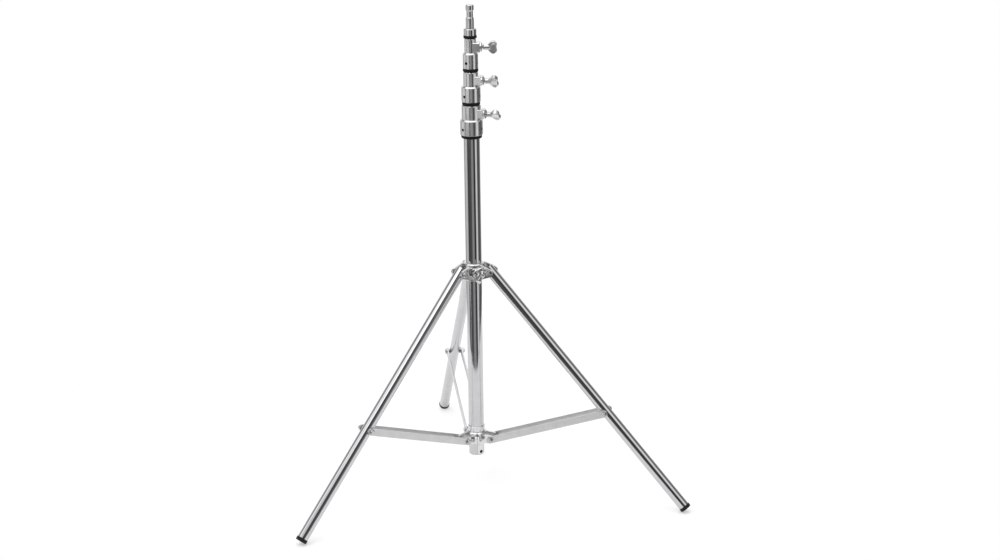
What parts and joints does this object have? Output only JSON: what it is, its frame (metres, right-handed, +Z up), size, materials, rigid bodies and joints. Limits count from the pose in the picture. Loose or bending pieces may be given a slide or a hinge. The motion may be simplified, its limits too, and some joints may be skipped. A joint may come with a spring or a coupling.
{
  "type": "telescoping lighting stand",
  "caption": "Folding chrome lighting stand: nested risers in a column with wing-screw clamp collars, a lamp stud on top, and braced tripod legs on a sliding hub.",
  "frame": {"origin": "on the floor, on the axis of the column", "axes": "+Z up along the column; +Y points along leg 3; legs 1 and 2 are a third of a turn to each side of it"},
  "size_m": [0.8018, 0.6976, 1.018],
  "materials": {
    "column_chrome": "bright chrome plate, mirror polished",
    "tube_chrome": "bright chrome plate over drawn steel tube",
    "casting_chrome": "chrome plate over a soft cast surface",
    "stud_steel": "turned steel, chrome plated",
    "brace_steel": "satin plated flat bar",
    "fastener_steel": "zinc plated, slightly dull",
    "set_screw_steel": "blackened steel",
    "rubber": "matt black",
    "nylon": "natural nylon",
    "shoe_brass": "plain brass",
    "plug_metal": "satin"
  },
  "bodies": {
    "column": {"column_tube": "column_chrome", "column_end_plug": "plug_metal", "end_plug_screw": "set_screw_steel", "lower_collar": "casting_chrome", "lower_collar_screw": "fastener_steel", "clamp_collar_1": "casting_chrome", "collar_1_screws": "set_screw_steel", "bumper_ring_1": "rubber", "lower_pivot_bolts": "fastener_steel", "lower_pivot_nuts": "fastener_steel"},
    "guide_bush_1": {"riser_1_bush": "nylon"},
    "guide_bush_2": {"riser_2_bush": "nylon"},
    "guide_bush_3": {"riser_3_bush": "nylon"},
    "riser_1": {"riser_1_tube": "tube_chrome", "clamp_collar_2": "casting_chrome", "collar_2_screws": "set_screw_steel", "bumper_ring_2": "rubber"},
    "riser_2": {"riser_2_tube": "tube_chrome", "clamp_collar_3": "casting_chrome", "collar_3_screws": "set_screw_steel", "bumper_ring_3": "rubber"},
    "riser_3": {"riser_3_tube": "tube_chrome", "lamp_stud": "stud_steel", "lamp_stud_pin": "fastener_steel", "bumper_ring_4": "rubber"},
    "hub": {"leg_hub": "casting_chrome", "hub_liner": "nylon", "leg_pivot_bolts": "fastener_steel", "leg_pivot_nuts": "fastener_steel"},
    "lock_1_shoe": {"lock_1_shoe": "shoe_brass"},
    "lock_1": {"lock_1_screw": "fastener_steel", "lock_1_wing": "casting_chrome"},
    "lock_2_shoe": {"lock_2_shoe": "shoe_brass"},
    "lock_2": {"lock_2_screw": "fastener_steel", "lock_2_wing": "casting_chrome"},
    "lock_3_shoe": {"lock_3_shoe": "shoe_brass"},
    "lock_3": {"lock_3_screw": "fastener_steel", "lock_3_wing": "casting_chrome"},
    "lock_4_shoe": {"lock_4_shoe": "shoe_brass"},
    "lock_4": {"lock_4_screw": "fastener_steel", "lock_4_wing": "casting_chrome"},
    "leg_1": {"leg_1_tube": "tube_chrome", "leg_1_top_plug": "plug_metal", "foot_cap_1": "rubber", "leg_1_brace_stud": "fastener_steel"},
    "brace_1": {"brace_1_bars": "brace_steel", "brace_1_bolt_ends": "fastener_steel"},
    "leg_2": {"leg_2_tube": "tube_chrome", "leg_2_top_plug": "plug_metal", "foot_cap_2": "rubber", "leg_2_brace_stud": "fastener_steel"},
    "brace_2": {"brace_2_bars": "brace_steel", "brace_2_bolt_ends": "fastener_steel"},
    "leg_3": {"leg_3_tube": "tube_chrome", "leg_3_top_plug": "plug_metal", "foot_cap_3": "rubber", "leg_3_brace_stud": "fastener_steel"},
    "brace_3": {"brace_3_bars": "brace_steel", "brace_3_bolt_ends": "fastener_steel"}
  },
  "joints": [
    {"name": "hub_slide", "type": "slide", "parent": "column", "child": "hub", "axis": [0, 0, 1], "range_m": [0, 0.25913]},
    {"name": "leg_1_hinge", "type": "hinge", "parent": "hub", "child": "leg_1", "pos_m": [-0.03248, -0.01875, 0.47307], "axis": [0.5, -0.866, 0], "range_deg": [0, 34.11]},
    {"name": "leg_2_hinge", "type": "hinge", "parent": "hub", "child": "leg_2", "pos_m": [0.03248, -0.01875, 0.47307], "axis": [0.5, 0.866, 0], "range_deg": [0, 34.11]},
    {"name": "leg_3_hinge", "type": "hinge", "parent": "hub", "child": "leg_3", "pos_m": [0, 0.0375, 0.47307], "axis": [-1, 0, 0], "range_deg": [0, 34.11]},
    {"name": "brace_1_hinge", "type": "hinge", "parent": "column", "child": "brace_1", "pos_m": [-0.03074, -0.01775, 0.11038], "axis": [0.5, -0.866, 0], "range_deg": [-59.25, 0]},
    {"name": "brace_2_hinge", "type": "hinge", "parent": "column", "child": "brace_2", "pos_m": [0.03074, -0.01775, 0.11038], "axis": [0.5, 0.866, 0], "range_deg": [-59.25, 0]},
    {"name": "brace_3_hinge", "type": "hinge", "parent": "column", "child": "brace_3", "pos_m": [0, 0.0355, 0.11038], "axis": [-1, 0, 0], "range_deg": [-59.25, 0]},
    {"name": "riser_1_slide", "type": "slide", "parent": "column", "child": "guide_bush_1", "axis": [0, 0, 1], "range_m": [0, 0.636]},
    {"name": "riser_1_turn", "type": "hinge", "parent": "guide_bush_1", "child": "riser_1", "pos_m": [0, 0, 0.09], "axis": [0, 0, 1], "continuous": true},
    {"name": "riser_2_slide", "type": "slide", "parent": "riser_1", "child": "guide_bush_2", "axis": [0, 0, 1], "range_m": [0, 0.696]},
    {"name": "riser_2_turn", "type": "hinge", "parent": "guide_bush_2", "child": "riser_2", "pos_m": [0, 0, 0.097], "axis": [0, 0, 1], "continuous": true},
    {"name": "riser_3_slide", "type": "slide", "parent": "riser_2", "child": "guide_bush_3", "axis": [0, 0, 1], "range_m": [0, 0.756]},
    {"name": "riser_3_turn", "type": "hinge", "parent": "guide_bush_3", "child": "riser_3", "pos_m": [0, 0, 0.104], "axis": [0, 0, 1], "continuous": true},
    {"name": "lock_1_shoe_slide", "type": "slide", "parent": "column", "child": "lock_1_shoe", "axis": [0.866, -0.5, 0], "range_m": [0, 0.0017]},
    {"name": "lock_1_turn", "type": "hinge", "parent": "lock_1_shoe", "child": "lock_1", "pos_m": [0.02338, -0.0135, 0.8], "axis": [0.866, -0.5, 0], "range_deg": [0, 360]},
    {"name": "lock_2_shoe_slide", "type": "slide", "parent": "riser_1", "child": "lock_2_shoe", "axis": [0.9063, -0.4226, 0], "range_m": [0, 0.0017]},
    {"name": "lock_2_turn", "type": "hinge", "parent": "lock_2_shoe", "child": "lock_2", "pos_m": [0.02057, -0.00959, 0.867], "axis": [0.9063, -0.4226, 0], "range_deg": [0, 360]},
    {"name": "lock_3_shoe_slide", "type": "slide", "parent": "riser_2", "child": "lock_3_shoe", "axis": [0.9659, -0.2588, 0], "range_m": [0, 0.0017]},
    {"name": "lock_3_turn", "type": "hinge", "parent": "lock_3_shoe", "child": "lock_3", "pos_m": [0.01893, -0.00507, 0.934], "axis": [0.9659, -0.2588, 0], "range_deg": [0, 360]},
    {"name": "lock_4_shoe_slide", "type": "slide", "parent": "hub", "child": "lock_4_shoe", "axis": [0.0872, -0.9962, 0], "range_m": [0, 0.0017]},
    {"name": "lock_4_turn", "type": "hinge", "parent": "lock_4_shoe", "child": "lock_4", "pos_m": [0.00253, -0.02889, 0.47407], "axis": [0.0872, -0.9962, 0], "range_deg": [0, 360]}
  ],
  "couplings": [
    {"joint": "leg_1_hinge", "follows": "hub_slide", "rad_per_m": 2.2968},
    {"joint": "leg_2_hinge", "follows": "hub_slide", "rad_per_m": 2.2968},
    {"joint": "leg_3_hinge", "follows": "hub_slide", "rad_per_m": 2.2968},
    {"joint": "brace_1_hinge", "follows": "hub_slide", "rad_per_m": -3.99},
    {"joint": "brace_2_hinge", "follows": "hub_slide", "rad_per_m": -3.99},
    {"joint": "brace_3_hinge", "follows": "hub_slide", "rad_per_m": -3.99},
    {"joint": "lock_1_shoe_slide", "follows": "lock_1_turn", "m_per_rad": 0.00023873},
    {"joint": "lock_2_shoe_slide", "follows": "lock_2_turn", "m_per_rad": 0.00023873},
    {"joint": "lock_3_shoe_slide", "follows": "lock_3_turn", "m_per_rad": 0.00023873},
    {"joint": "lock_4_shoe_slide", "follows": "lock_4_turn", "m_per_rad": 0.00023873}
  ]
}
